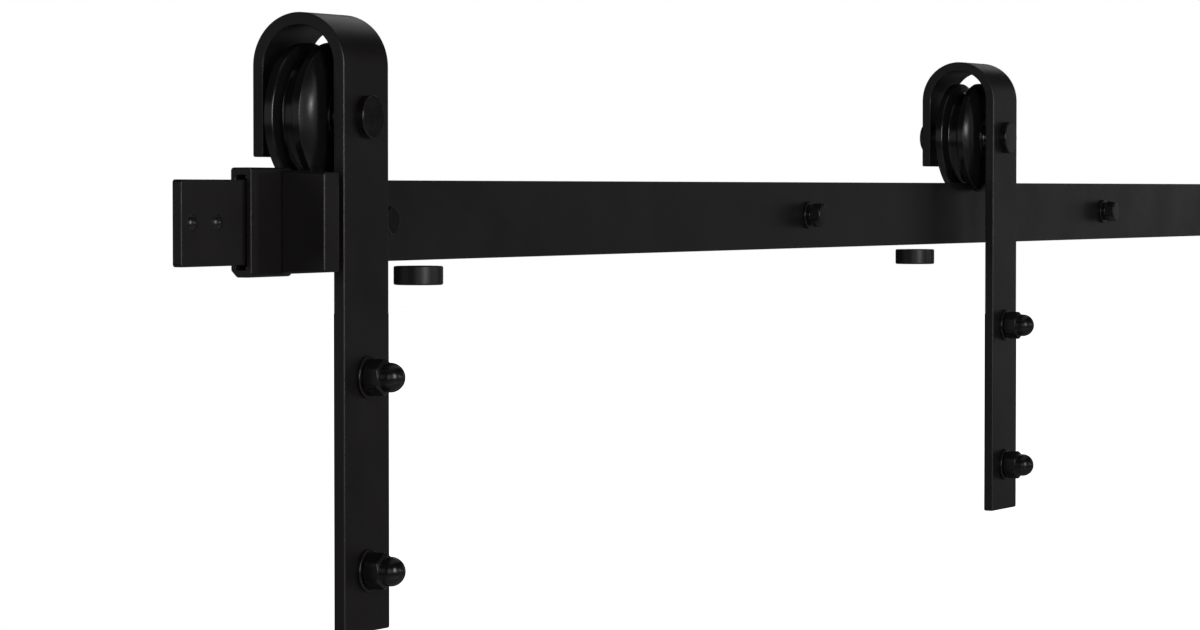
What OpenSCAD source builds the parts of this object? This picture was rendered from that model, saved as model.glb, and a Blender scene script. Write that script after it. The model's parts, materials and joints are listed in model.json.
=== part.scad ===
// Sliding barn door hardware: a flat rail on wall spacers, two strap hangers with grooved
// wheels that roll along the rail's top edge, two end stops, and two anti-jump discs.
// Millimetres. X runs along the rail, -Y points into the room, +Z is up.
// The origin is on the wall, at the middle of the line of wall bolts.

/* [Rail] */
// Length of the flat rail
rail_len = 1900; // [1700:10:2400]
// Height of the flat rail
rail_h = 40; // [40:1:44]
// Thickness of the flat rail
rail_t = 5; // [4:0.5:6]
// Gap between the wall and the rail, filled by the spacers
spacer_len = 35.5; // [35.5:0.5:60]
// Distance from one wall bolt to the next
bolt_pitch = 518; // [400:1:530]
// Diameter of a rail spacer
spacer_d = 24; // [20:1:30]
// Shank diameter of a lag bolt
lag_d = 8; // [6:1:10]
// Length of a lag bolt behind the wall's face
lag_grip = 55; // [40:5:80]

/* [Hangers] */
// Distance between the two hangers
hanger_pitch = 833; // [700:1:900]
// Distance from the rail's left end to the left hanger at rest
hanger_from_end = 126; // [120:1:160]
// Width of the strap
strap_w = 42; // [38:1:44]
// Thickness of the strap
strap_t = 6; // [5:0.5:6]
// Outer radius of the strap's arch
arch_r = 25.5; // [25:0.5:27]
// Height of the arch's top above the rail's top
arch_rise = 80.1; // [79:0.1:84]
// Depth of the strap's bottom end below the rail's top
strap_drop = 217; // [205:1:260]
// Height of the back leg's end above the rail's top
tail_rise = 11; // [10:0.5:16]
// Distance from the strap's bottom end to the lower door bolt
low_bolt_up = 29.5; // [22:0.5:34]
// Distance between the two door bolts
door_bolt_pitch = 93; // [80:1:100]

/* [Wheels] */
// Radius of the wheel over its flanges
wheel_r = 36; // [35:0.5:37]
// Radius of the running groove
groove_r = 29.8; // [29:0.1:29.8]
// Height of the axle above the rail's top
axle_rise = 30.1; // [30.1:0.1:30.5]
// Width over the wheel's two flanges
rim_w = 20; // [18:0.5:22]
// Width of the wheel's hub
hub_w = 30; // [28:0.5:32]
// Diameter of the axle bolt
axle_d = 12; // [11:0.5:12]

/* [End stops] */
// Distance from the rail's end to the clamp
stop_from_end = 54; // [40:1:56]
// Length of the clamp along the rail
clamp_l = 36; // [32:1:36]
// Distance from the rail's end to the buffer block
block_from_end = 81; // [80:0.5:82]
// Width of the buffer block along the rail
block_w = 13.5; // [12:0.5:14]
// Distance that the buffer block stands out from the clamp
block_d = 23.5; // [22:0.5:24]
// Thickness of the rubber pad that meets the strap
pad_t = 3.5; // [2.5:0.5:3.5]

/* [Anti-jump discs] */
// Diameter of a disc
disc_d = 25; // [22:1:30]
// Thickness of a disc
disc_t = 9.5; // [8:0.5:12]
// Gap between the rail's bottom and a disc
disc_gap = 3; // [2:0.5:6]
// Distance from a hanger to its disc
disc_offset = 94; // [80:1:110]

/* [Hidden] */
$fn = 64;
EPS = 0.01;

// Colours
COAT = "#1d1d1f";
COAT_WHEEL = "#242426";
RUBBER = "#101010";
STEEL = "#a8abb0";
CAGE = "#8d7b52";

// Rail
rail_y = -(spacer_len + rail_t / 2);
rail_front = -(spacer_len + rail_t);
rail_top = rail_h / 2;
rail_corner = 1.5;
rail_hole_d = lag_d + 1;
spacer_bore_d = lag_d + 3;
bolt_x = [for (i = [-1.5:1:1.5]) i * bolt_pitch];

// Wall fasteners
lag_head_af = 13;
lag_head_h = 6.5;
lag_thread_d = lag_d - 1;
lag_point = 9;
lag_bore_d = lag_d + 0.2;
lag_washer_d = 16.5;
lag_washer_t = 2;
lock_washer_d = 13;
lock_washer_t = 2.2;
lag_seat = rail_front - lag_washer_t - lock_washer_t;

// End rivets
rivet_d = 5;
rivet_hole_d = 5.1;
rivet_head_d = 8;
rivet_head_h = 2.2;
rivet_tail_d = 7;
rivet_tail_h = 1;
rivet_from_end = [9, 30];

// End stop
web_t = 2.6;
web_gap = 0.6;
lip_t = 2.6;
lip_gap = 0.4;
flange_t = 3.6;
flange_gap = 2.1;
lip_h = 6;
clamp_round = 1.2;
clamp_bevel = 3.2;
clamp_top = rail_top + flange_gap + flange_t;
clamp_front = rail_front - web_gap - web_t;
clamp_back = rail_front + rail_t + lip_gap + lip_t;
block_top = clamp_top - 1.2;
block_draft = 1;
block_bevel = 1.5;
pad_h = 36;
pad_inset = 2;
pad_depth = 15;
set_screw_d = 6;
set_hole_d = 6.1;
set_socket_af = 3;
set_socket_depth = 3;
set_from_end = [8, 28];
block_screw_d = 4;
block_screw_len = 14;
block_screw_head_d = 7;
block_screw_z = 14;

// Strap
hanger_x = [-rail_len / 2 + hanger_from_end, -rail_len / 2 + hanger_from_end + hanger_pitch];
strap_front = rail_y - arch_r;
strap_back = strap_front + strap_t;
tail_back = rail_y + arch_r;
arch_z = rail_top + arch_rise - arch_r;
strap_bottom = rail_top - strap_drop;
tail_bottom = rail_top + tail_rise;
strap_corner = 1;
axle_z = rail_top + axle_rise;
low_bolt_z = strap_bottom + low_bolt_up;
door_bolt_z = [low_bolt_z, low_bolt_z + door_bolt_pitch];

// Axle
axle_head_d = 20.6;
axle_head_h = 4.2;
axle_head_edge = 0.5;
axle_nut_af = 18;
axle_nut_h = 7;
axle_end = 1;
axle_hole_d = axle_d + 0.4;
axle_bore_d = axle_d + 0.1;

// Door bolts
stud_d = 10;
stud_end_d = 9;
stud_out = 5.5;
stud_hole_d = 11;
dome_af = 16;
dome_h = 18;
dome_hex_h = 8.6;
dome_neck_d = 14;
dome_thread = 13;
door_washer_d = 20.5;
door_washer_t = 2;

// Wheel, measured outwards from its middle plane
groove_half = 4.9;
groove_floor_half = 3;
rim_half = rim_w / 2;
groove_round = 0.6;
rim_round = 0.6;
hub_half = hub_w / 2;
hub_r = 17;
hub_step = 0.9;
hub_round = 0.4;
crown_r = wheel_r - rim_round;
crown_arc_r = 32;
race_stop_r = 12.5;

// Ball bearings, two in each hub
race_bore_r = axle_d / 2 + 0.05;
inner_shoulder_r = 8;
outer_shoulder_r = 12;
bearing_r = 14;
bearing_w = 8;
bearing_in = hub_half - 0.5 - bearing_w;
ball_r = 2.38;
ball_pitch_r = 10;
ball_gap = 0.08;
balls = 8;
cage_half_t = 0.7;
cage_half_w = 2.6;
shield_t = 0.3;
shield_r = 8.6;
sleeve_wall = 2;
hub_spacer_r = 9;

// Anti-jump disc
disc_screw_d = 5;
disc_screw_offset = 6.6;
disc_sink_d = 10;
disc_sink_h = 2.5;
disc_round = 0.8;

// ---- Helpers ----

// Lays a shape drawn along +Z so that it points along -Y, into the room.
module to_room(x, y, z) {
  translate([x, y, z]) rotate([90, 0, 0]) children();
}

// Lays a shape drawn along +Z so that it points along +Y, towards the wall.
module to_wall(x, y, z) {
  translate([x, y, z]) rotate([-90, 0, 0]) children();
}

// Turns a profile drawn as [radius, distance] around the wheel's axle.
module turned(x) {
  to_wall(x, rail_y, axle_z) rotate_extrude($fn = 96) children();
}

// Mirrors a shape to the rail's other end.
module other_end() {
  mirror([1, 0, 0]) children();
}

// Tube of length h along +Z.
module tube(outer_d, inner_d, h) {
  difference() {
    cylinder(d = outer_d, h = h);
    translate([0, 0, -1]) cylinder(d = inner_d, h = h + 2);
  }
}

// Hexagonal prism with its corners turned down on top, corners pointing up and down.
module hex_block(af, h, base_cut = 0) {
  corner_r = af / 2 / cos(30);
  cut = corner_r - af / 2 * 0.97;
  drop = cut * tan(30);
  intersection() {
    rotate([0, 0, 90]) cylinder(r = corner_r, h = h, $fn = 6);
    rotate_extrude($fn = 96) polygon([
      [0, 0], [corner_r - base_cut, 0], [corner_r + EPS, base_cut * tan(30)],
      [corner_r + EPS, h - drop], [corner_r - cut, h], [0, h]]);
  }
}

// Part of a ball of base diameter d and height h, standing on z = 0.
module dome(d, h) {
  ball = (d * d / 4 + h * h) / (2 * h);
  intersection() {
    translate([0, 0, h - ball]) sphere(r = ball);
    cylinder(d = d + 1, h = h + 1);
  }
}

// Rectangle w by h with its bottom corners rounded, its top edge on y = 0.
module rounded_bottom(w, h, r) {
  translate([-w / 2, r - h]) square([w, h - r]);
  translate([r - w / 2, -h]) square([w - 2 * r, r]);
  for (side = [-1, 1]) translate([side * (w / 2 - r), r - h]) circle(r = r);
}

// ---- Track ----

module rail_outline() {
  half = rail_len / 2 - rail_corner;
  square([rail_len, rail_h - 2 * rail_corner], center = true);
  square([2 * half, rail_h], center = true);
  for (x = [-half, half]) for (z = [-1, 1])
    translate([x, z * (rail_h / 2 - rail_corner)]) circle(r = rail_corner);
}

module track_rail() {
  rivet_x = [for (from_end = rivet_from_end) rail_len / 2 - from_end];
  color(COAT) difference() {
    to_room(0, -spacer_len, 0) linear_extrude(rail_t) rail_outline();
    for (x = bolt_x) to_room(x, 1 - spacer_len, 0) cylinder(d = rail_hole_d, h = rail_t + 2);
    for (x = rivet_x) for (side = [-1, 1])
      to_room(side * x, 1 - spacer_len, 0) cylinder(d = rivet_hole_d, h = rail_t + 2);
  }
}

module rail_spacer(i) {
  color(COAT) to_room(bolt_x[i], 0, 0) tube(spacer_d, spacer_bore_d, spacer_len);
}

module rail_bolt(i) {
  color(COAT) {
    to_room(bolt_x[i], lag_seat, 0) hex_block(lag_head_af, lag_head_h);
    to_wall(bolt_x[i], lag_seat, 0) cylinder(d = lag_d, h = -lag_seat - 1);
    to_wall(bolt_x[i], -1, 0) cylinder(d = lag_thread_d, h = lag_grip + 1 - lag_point);
    to_wall(bolt_x[i], lag_grip - lag_point, 0)
      cylinder(d1 = lag_thread_d, d2 = 1, h = lag_point);
  }
}

// A flat washer and a lock washer under each lag bolt's head.
module rail_washers() {
  for (x = bolt_x) color(COAT) {
    to_room(x, rail_front, 0) tube(lag_washer_d, lag_bore_d, lag_washer_t);
    to_room(x, rail_front - lag_washer_t, 0) tube(lock_washer_d, lag_bore_d, lock_washer_t);
  }
}

module left_end_rivets() {
  for (from_end = rivet_from_end) color(COAT) {
    x = from_end - rail_len / 2;
    to_room(x, rail_front, 0) dome(rivet_head_d, rivet_head_h);
    to_room(x, -spacer_len, 0) cylinder(d = rivet_d, h = rail_t + EPS);
    to_wall(x, -spacer_len, 0) cylinder(d = rivet_tail_d, h = rivet_tail_h);
  }
}

// ---- End stops ----

// Section of the clamp, drawn as [y, z]: a channel whose lips hook behind the rail.
module clamp_section() {
  inner_top = rail_top + flange_gap;
  inner_front = clamp_front + web_t;
  inner_back = clamp_back - lip_t;
  difference() {
    union() {
      translate([clamp_front + clamp_round, -clamp_top])
        square([clamp_back - clamp_front - clamp_round - clamp_bevel, 2 * clamp_top]);
      translate([clamp_front, clamp_round - clamp_top])
        square([clamp_back - clamp_front, 2 * clamp_top - 2 * clamp_round - clamp_bevel]);
      translate([clamp_back - clamp_bevel - EPS, -clamp_top]) polygon([
        [0, 0], [EPS, 0], [clamp_bevel + EPS, clamp_bevel], [clamp_bevel + EPS, 2 * clamp_top],
        [0, 2 * clamp_top]]);
      for (z = [-1, 1]) translate([clamp_front + clamp_round, z * (clamp_top - clamp_round)])
        circle(r = clamp_round);
    }
    translate([inner_front, -inner_top]) square([inner_back - inner_front, 2 * inner_top]);
    translate([inner_back - EPS, lip_h - inner_top])
      square([lip_t + 1, 2 * inner_top - 2 * lip_h]);
    translate([clamp_back - clamp_bevel, -clamp_top - EPS])
      polygon([[0, 0], [clamp_bevel + 1, 0], [clamp_bevel + 1, clamp_bevel + 1]]);
  }
}

module left_stop_clamp() {
  x0 = stop_from_end - rail_len / 2;
  color(COAT) difference() {
    translate([x0, 0, 0]) rotate([90, 0, 90]) linear_extrude(clamp_l) clamp_section();
    for (dx = set_from_end)
      translate([x0 + dx, rail_y, -clamp_top - 1]) cylinder(d = set_hole_d, h = 2 * clamp_top + 2);
    block_screw_places() {
      cylinder(d = block_screw_d + 0.2, h = 2 * web_t + 2, center = true);
      block_screw_head(0.15);
    }
  }
}

// Puts a screw at each place where the block is fixed, head on the web's back.
module block_screw_places() {
  middle = (block_from_end + stop_from_end + clamp_l) / 2 - rail_len / 2;
  for (z = [-1, 1]) to_room(middle, clamp_front + web_t, z * block_screw_z) children();
}

// Flat head that sinks into the web; gap widens it all round.
module block_screw_head(gap) {
  sink = (block_screw_head_d - block_screw_d) / 2;
  translate([0, 0, -gap]) cylinder(
    d1 = block_screw_head_d + 2 * gap, d2 = block_screw_d + 2 * gap, h = sink + gap);
}

module left_stop_screws() {
  color(STEEL) block_screw_places() {
    cylinder(d = block_screw_d, h = block_screw_len);
    difference() {
      block_screw_head(0);
      translate([0, 0, -EPS]) cylinder(r = 1.3, h = 1.2, $fn = 6);
    }
  }
}

// Front of the block, drawn as [x, z]: an upright bar with bevelled corners.
module block_front() {
  polygon([
    [0, block_bevel - block_top], [block_bevel, -block_top],
    [block_w - block_bevel, -block_top], [block_w, block_bevel - block_top],
    [block_w, block_top - block_bevel], [block_w - block_bevel, block_top],
    [block_bevel, block_top], [0, block_top - block_bevel]]);
}

// Side of the block, drawn as [y, z]; its ends fall a little towards the room.
module block_side() {
  polygon([
    [clamp_front, -block_top], [clamp_front, block_top],
    [clamp_front - block_d, block_top - block_draft],
    [clamp_front - block_d, block_draft - block_top]]);
}

module left_stop_block() {
  x0 = block_from_end - rail_len / 2;
  color(COAT) difference() {
    intersection() {
      translate([x0, 0, 0]) rotate([90, 0, 90]) linear_extrude(block_w) block_side();
      to_room(x0, clamp_front, 0) linear_extrude(block_d) block_front();
    }
    block_screw_places() cylinder(d = block_screw_d + 0.1, h = block_screw_len + 2);
  }
}

module left_stop_pad() {
  x0 = block_from_end + block_w - rail_len / 2;
  y0 = clamp_front - block_d + pad_inset;
  color(RUBBER) translate([x0, y0, -pad_h / 2]) cube([pad_t, pad_depth, pad_h]);
}

// Four headless screws that grip the rail's top and bottom edges.
module left_set_screws() {
  x0 = stop_from_end - rail_len / 2;
  screw_len = clamp_top - rail_top;
  for (dx = set_from_end) for (side = [0, 1]) color(STEEL)
    translate([x0 + dx, rail_y, 0]) mirror([0, 0, side]) translate([0, 0, rail_top])
      difference() {
        cylinder(d = set_screw_d, h = screw_len);
        translate([0, 0, screw_len - set_socket_depth])
          cylinder(r = set_socket_af / 2 / cos(30), h = set_socket_depth + 1, $fn = 6);
      }
}

// ---- Hangers: x is the middle of the strap ----

module strap(x) {
  color(COAT) difference() {
    union() {
      to_wall(x, strap_front, arch_z) rotate([0, 0, 180])
        linear_extrude(strap_t) rounded_bottom(strap_w, arch_z - strap_bottom, strap_corner);
      to_wall(x, tail_back - strap_t, arch_z) rotate([0, 0, 180])
        linear_extrude(strap_t) rounded_bottom(strap_w, arch_z - tail_bottom, strap_corner);
      translate([x, rail_y, arch_z]) rotate([0, 90, 0]) difference() {
        cylinder(r = arch_r, h = strap_w, center = true, $fn = 128);
        cylinder(r = arch_r - strap_t, h = strap_w + 2, center = true, $fn = 128);
        translate([0, -arch_r - 1, -strap_w])
          cube([arch_r + 1, 2 * arch_r + 2, 2 * strap_w]);
      }
    }
    to_wall(x, strap_front - 1, axle_z) cylinder(d = axle_hole_d, h = 2 * arch_r + 2);
    for (z = door_bolt_z)
      to_wall(x, strap_front - 1, z) cylinder(d = stud_hole_d, h = strap_t + 2);
  }
}

module axle_bolt(x) {
  color(COAT) {
    to_room(x, strap_front, axle_z) rotate_extrude($fn = 96) polygon([
      [0, 0], [axle_head_d / 2, 0], [axle_head_d / 2, axle_head_h - axle_head_edge],
      [axle_head_d / 2 - axle_head_edge, axle_head_h], [0, axle_head_h]]);
    to_wall(x, strap_front, axle_z)
      cylinder(d = axle_d, h = 2 * arch_r + axle_nut_h + axle_end);
  }
}

module axle_nut(x) {
  color(COAT) to_wall(x, tail_back, axle_z) difference() {
    hex_block(axle_nut_af, axle_nut_h, 0.6);
    translate([0, 0, -1]) cylinder(d = axle_bore_d, h = axle_nut_h + 2);
  }
}

// Spacers between the strap's legs and the bearings' inner races.
module hub_spacers(x) {
  inner_edge = bearing_in + bearing_w;
  length = arch_r - strap_t - inner_edge;
  color(STEEL) for (side = [0, 1])
    to_wall(x, rail_y, axle_z) mirror([0, 0, side])
      translate([0, 0, inner_edge]) tube(2 * hub_spacer_r, axle_bore_d, length);
}

module axle_sleeve(x) {
  color(STEEL) to_wall(x, rail_y, axle_z) translate([0, 0, -bearing_in])
    tube(axle_bore_d + 2 * sleeve_wall, axle_bore_d, 2 * bearing_in);
}

// Puts a section at both bearings, one each side of the middle plane.
module both_bearings() {
  for (side = [0, 1]) mirror([0, side]) translate([0, bearing_in + bearing_w / 2]) children();
}

module inner_races(x) {
  color(STEEL) turned(x) both_bearings() difference() {
    translate([race_bore_r, -bearing_w / 2]) square([inner_shoulder_r - race_bore_r, bearing_w]);
    translate([ball_pitch_r, 0]) circle(r = ball_r + ball_gap);
  }
}

module outer_races(x) {
  color(STEEL) turned(x) both_bearings() difference() {
    translate([outer_shoulder_r, -bearing_w / 2]) square([bearing_r - outer_shoulder_r, bearing_w]);
    translate([ball_pitch_r, 0]) circle(r = ball_r + ball_gap);
    translate([outer_shoulder_r - EPS, bearing_w / 2 - 2 * shield_t])
      square([0.4 + EPS, 2 * shield_t + EPS]);
  }
}

module bearing_shields(x) {
  color(STEEL) turned(x) both_bearings()
    translate([shield_r, bearing_w / 2 - 2 * shield_t])
      square([outer_shoulder_r + 0.4 - shield_r, shield_t]);
}

// Puts a shape at every ball of both bearings.
module ball_places(x) {
  for (side = [0, 1]) for (i = [0:balls - 1])
    to_wall(x, rail_y, axle_z) mirror([0, 0, side])
      translate([0, 0, bearing_in + bearing_w / 2])
        rotate([0, 0, i * 360 / balls]) translate([ball_pitch_r, 0, 0]) children();
}

module bearing_balls(x) {
  color(STEEL) ball_places(x) sphere(r = ball_r, $fn = 24);
}

module ball_cages(x) {
  color(CAGE) difference() {
    turned(x) both_bearings()
      translate([ball_pitch_r - cage_half_t, -cage_half_w])
        square([2 * cage_half_t, 2 * cage_half_w - 0.2]);
    ball_places(x) sphere(r = ball_r + ball_gap, $fn = 24);
  }
}

// Half of the wheel's section as [radius, distance from its middle plane]. An arc joins the
// rim to the hub, so both faces are domed.
module wheel_section() {
  rim_edge = [crown_r, rim_half];
  hub_edge = [hub_r, hub_half - hub_step];
  chord = rim_edge - hub_edge;
  half = norm(chord) / 2;
  up = [-chord[1], chord[0]] / norm(chord);
  centre = (rim_edge + hub_edge) / 2 - up * sqrt(crown_arc_r * crown_arc_r - half * half);
  for (side = [0, 1]) mirror([0, side]) {
    polygon([
      [bearing_r, 0], [groove_r, 0], [groove_r, groove_floor_half],
      [wheel_r - groove_round, groove_half], [wheel_r, groove_half + groove_round],
      [wheel_r, rim_half - rim_round], rim_edge, hub_edge, [hub_r, hub_half - hub_round],
      [hub_r - hub_round, hub_half], [bearing_r, hub_half]]);
    intersection() {
      translate(centre) circle(r = crown_arc_r, $fn = 256);
      translate([hub_r, rim_half - EPS]) square([crown_r - hub_r, hub_half - rim_half]);
    }
    translate([race_stop_r, 0]) square([bearing_r - race_stop_r + EPS, bearing_in]);
  }
}

module wheel(x) {
  color(COAT_WHEEL) turned(x) wheel_section();
}

module door_studs(x) {
  thread = door_washer_t + dome_thread - 1;
  color(STEEL) for (z = door_bolt_z) {
    to_wall(x, strap_front - thread, z) cylinder(d = stud_d, h = thread + strap_t);
    to_wall(x, strap_back, z) cylinder(d = stud_end_d, h = stud_out);
  }
}

module strap_washers(x) {
  color(COAT) for (z = door_bolt_z)
    to_room(x, strap_front, z) tube(door_washer_d, stud_d + 0.6, door_washer_t);
}

module dome_nuts(x) {
  color(COAT) for (z = door_bolt_z)
    to_room(x, strap_front - door_washer_t, z) difference() {
      union() {
        hex_block(dome_af, dome_hex_h, 0.5);
        cylinder(d = dome_neck_d, h = dome_h - dome_neck_d / 2);
        translate([0, 0, dome_h - dome_neck_d / 2]) sphere(d = dome_neck_d);
      }
      translate([0, 0, -1]) cylinder(d = stud_d + 0.1, h = dome_thread + 1);
    }
}

// ---- Anti-jump discs: side is 1 for a disc to the right of its hanger, -1 for the left ----

module jump_disc(x, side) {
  top = -rail_top - disc_gap;
  color(COAT) translate([x + side * disc_offset, rail_y, top - disc_t]) difference() {
    rotate_extrude($fn = 96) polygon([
      [0, 0], [disc_d / 2 - disc_round, 0], [disc_d / 2, disc_round],
      [disc_d / 2, disc_t - disc_round], [disc_d / 2 - disc_round, disc_t], [0, disc_t]]);
    translate([0, disc_screw_offset, -1]) cylinder(d = disc_screw_d, h = disc_t + 2);
    translate([0, disc_screw_offset, disc_t - disc_sink_h])
      cylinder(d1 = disc_screw_d, d2 = disc_sink_d, h = disc_sink_h + EPS);
  }
}

// ---- Nodes ----

left = hanger_x[0];
right = hanger_x[1];

track_rail();
rail_spacer(0);  // rail_spacer_1
rail_spacer(1);  // rail_spacer_2
rail_spacer(2);  // rail_spacer_3
rail_spacer(3);  // rail_spacer_4
rail_bolt(0);  // rail_bolt_1
rail_bolt(1);  // rail_bolt_2
rail_bolt(2);  // rail_bolt_3
rail_bolt(3);  // rail_bolt_4
rail_washers();
left_end_rivets();
other_end() left_end_rivets();  // right_end_rivets
left_stop_clamp();
left_stop_block();
left_stop_pad();
left_stop_screws();
left_set_screws();
other_end() left_stop_clamp();  // right_stop_clamp
other_end() left_stop_block();  // right_stop_block
other_end() left_stop_pad();  // right_stop_pad
other_end() left_stop_screws();  // right_stop_screws
other_end() left_set_screws();  // right_set_screws
strap(left);  // left_strap
axle_bolt(left);  // left_axle_bolt
axle_nut(left);  // left_axle_nut
hub_spacers(left);  // left_hub_spacers
axle_sleeve(left);  // left_axle_sleeve
inner_races(left);  // left_inner_races
bearing_balls(left);  // left_bearing_balls
ball_cages(left);  // left_ball_cages
outer_races(left);  // left_outer_races
bearing_shields(left);  // left_bearing_shields
wheel(left);  // left_wheel
door_studs(left);  // left_door_studs
strap_washers(left);  // left_strap_washers
dome_nuts(left);  // left_dome_nuts
jump_disc(left, 1);  // left_jump_disc
strap(right);  // right_strap
axle_bolt(right);  // right_axle_bolt
axle_nut(right);  // right_axle_nut
hub_spacers(right);  // right_hub_spacers
axle_sleeve(right);  // right_axle_sleeve
inner_races(right);  // right_inner_races
bearing_balls(right);  // right_bearing_balls
ball_cages(right);  // right_ball_cages
outer_races(right);  // right_outer_races
bearing_shields(right);  // right_bearing_shields
wheel(right);  // right_wheel
door_studs(right);  // right_door_studs
strap_washers(right);  // right_strap_washers
dome_nuts(right);  // right_dome_nuts
jump_disc(right, -1);  // right_jump_disc
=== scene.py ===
import json
import math

import bmesh
import bpy
from mathutils import Matrix, Vector
from mathutils.geometry import tessellate_polygon


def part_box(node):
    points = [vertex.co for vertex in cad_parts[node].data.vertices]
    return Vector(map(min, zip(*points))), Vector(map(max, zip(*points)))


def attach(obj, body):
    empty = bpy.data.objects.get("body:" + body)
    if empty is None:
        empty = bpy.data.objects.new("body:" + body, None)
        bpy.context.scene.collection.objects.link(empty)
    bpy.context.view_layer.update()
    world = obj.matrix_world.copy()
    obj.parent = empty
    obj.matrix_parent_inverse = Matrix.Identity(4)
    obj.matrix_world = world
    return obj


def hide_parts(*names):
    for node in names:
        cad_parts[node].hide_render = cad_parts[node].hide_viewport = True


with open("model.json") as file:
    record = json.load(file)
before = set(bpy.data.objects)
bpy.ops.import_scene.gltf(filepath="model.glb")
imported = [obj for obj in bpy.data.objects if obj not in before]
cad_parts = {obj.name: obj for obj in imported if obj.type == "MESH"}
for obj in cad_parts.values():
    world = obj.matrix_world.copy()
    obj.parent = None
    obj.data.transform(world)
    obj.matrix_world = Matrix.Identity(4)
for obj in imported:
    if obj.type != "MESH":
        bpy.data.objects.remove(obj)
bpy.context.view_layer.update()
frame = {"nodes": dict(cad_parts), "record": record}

MM = 0.001
MM_SCALE = Matrix.Scale(MM, 4)
SIDES = ("left", "right")


# ---------------------------------------------------------------- places from the frame

def box_mm(node):
    """Lowest and highest corner of a CAD node, in millimetres."""
    lo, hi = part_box(node)
    return Vector(lo) / MM, Vector(hi) / MM


RAIL_LO, RAIL_HI = box_mm("track_rail")
RAIL_Y = (RAIL_LO.y + RAIL_HI.y) / 2
BODY_OF = {n: b for b, ns in frame["record"]["behaviour"]["bodies"].items() for n in ns}
SLOT_OF = {s["node"]: s["material_slot"] for s in frame["record"]["subparts"]}


def along_y(x, z, flip=1):
    """Maps (across, up, along) to a place around an axis parallel to Y; flip -1 points to the room."""
    return lambda u, v, w: (x + u, flip * w, z + v)


def along_z(x, y, flip=1):
    """Maps (across, across, along) to a place around an upright axis."""
    return lambda u, v, w: (x + u, y + v, flip * w)


def along_x(u, v, w):
    """A section drawn as (y, z) pushed along X."""
    return (w, u, v)


# ---------------------------------------------------------------- materials

# texture scales per metre, and the fine specks' scale against the grain's
PATCH_SCALE, RUB_SCALE, SPECK_RATIO = 22.0, 260.0, 4.2
# how far patches move the colour, and grain the roughness
TONE_SPREAD, GRAIN_ROUGH = 0.18, 0.03
# a rubbed edge's colour: the coat's own, multiplied and lifted
RUB_GAIN, RUB_LIFT = 2.2, 0.012
RELIEF_STRENGTH = 0.6


def material(name, colour, rough, metal=0.0, specular=0.5, grain=900.0, bump=0.00003,
             mottle=0.05, wear=0.0, wear_rough=-0.1):
    """Procedural finish: mottled colour and roughness, fine surface texture and worn edges."""
    mat = bpy.data.materials.new(name)
    mat.use_nodes = True
    nt = mat.node_tree
    nodes, links = nt.nodes, nt.links
    nodes.clear()
    out = nodes.new("ShaderNodeOutputMaterial")
    bsdf = nodes.new("ShaderNodeBsdfPrincipled")
    links.new(bsdf.outputs["BSDF"], out.inputs["Surface"])
    bsdf.inputs["Metallic"].default_value = metal
    bsdf.inputs["Specular IOR Level"].default_value = specular
    coords = nodes.new("ShaderNodeTexCoord")

    def noise(scale, detail):
        n = nodes.new("ShaderNodeTexNoise")
        n.inputs["Scale"].default_value = scale
        n.inputs["Detail"].default_value = detail
        links.new(coords.outputs["Object"], n.inputs["Vector"])
        return n.outputs["Fac"]

    def math_node(op, a, b):
        n = nodes.new("ShaderNodeMath")
        n.operation = op
        for socket, value in zip(n.inputs, (a, b)):
            if isinstance(value, (int, float)):
                socket.default_value = value
            else:
                links.new(value, socket)
        return n.outputs[0]

    def ranged(value, lo, hi, to_lo, to_hi):
        n = nodes.new("ShaderNodeMapRange")
        links.new(value, n.inputs["Value"])
        for key, v in zip(("From Min", "From Max", "To Min", "To Max"), (lo, hi, to_lo, to_hi)):
            n.inputs[key].default_value = v
        return n.outputs["Result"]

    def colour_mix(b, factor):
        n = nodes.new("ShaderNodeMix")
        n.data_type = "RGBA"
        n.inputs["B"].default_value = [min(c, 1.0) for c in b] + [1.0]
        links.new(factor, n.inputs["Factor"])
        return n

    broad = noise(PATCH_SCALE, 3.0)
    fine = noise(grain, 2.0)
    speck = noise(grain * SPECK_RATIO, 1.0)
    edge = nodes.new("ShaderNodeAttribute")
    edge.attribute_name = "edge"
    rubbing = ranged(noise(RUB_SCALE, 3.0), 0.38, 0.62, 0.25, 1.0)
    worn = math_node("MULTIPLY", edge.outputs["Fac"], rubbing)

    # colour: broad patches, then fine specks, then worn edges
    blend = math_node("ADD", math_node("MULTIPLY", broad, 0.6), math_node("MULTIPLY", speck, 0.4))
    tone = colour_mix([c * (1 + TONE_SPREAD) for c in colour], ranged(blend, 0.35, 0.65, 0.0, 1.0))
    tone.inputs["A"].default_value = [c * (1 - TONE_SPREAD) for c in colour] + [1.0]
    rub = colour_mix([c * RUB_GAIN + RUB_LIFT for c in colour], math_node("MULTIPLY", worn, wear))
    links.new(tone.outputs["Result"], rub.inputs["A"])
    links.new(rub.outputs["Result"], bsdf.inputs["Base Color"])

    # roughness: patches and grain, smoother where edges are rubbed
    patches = ranged(broad, 0.3, 0.7, rough - mottle, rough + mottle)
    grainy = math_node("ADD", patches, ranged(fine, 0.3, 0.7, -GRAIN_ROUGH, GRAIN_ROUGH))
    rubbed = math_node("ADD", grainy, math_node("MULTIPLY", worn, wear_rough))
    links.new(rubbed, bsdf.inputs["Roughness"])

    relief = nodes.new("ShaderNodeBump")
    relief.inputs["Strength"].default_value = RELIEF_STRENGTH
    relief.inputs["Distance"].default_value = bump
    links.new(fine, relief.inputs["Height"])
    links.new(relief.outputs["Normal"], bsdf.inputs["Normal"])
    return mat


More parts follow.
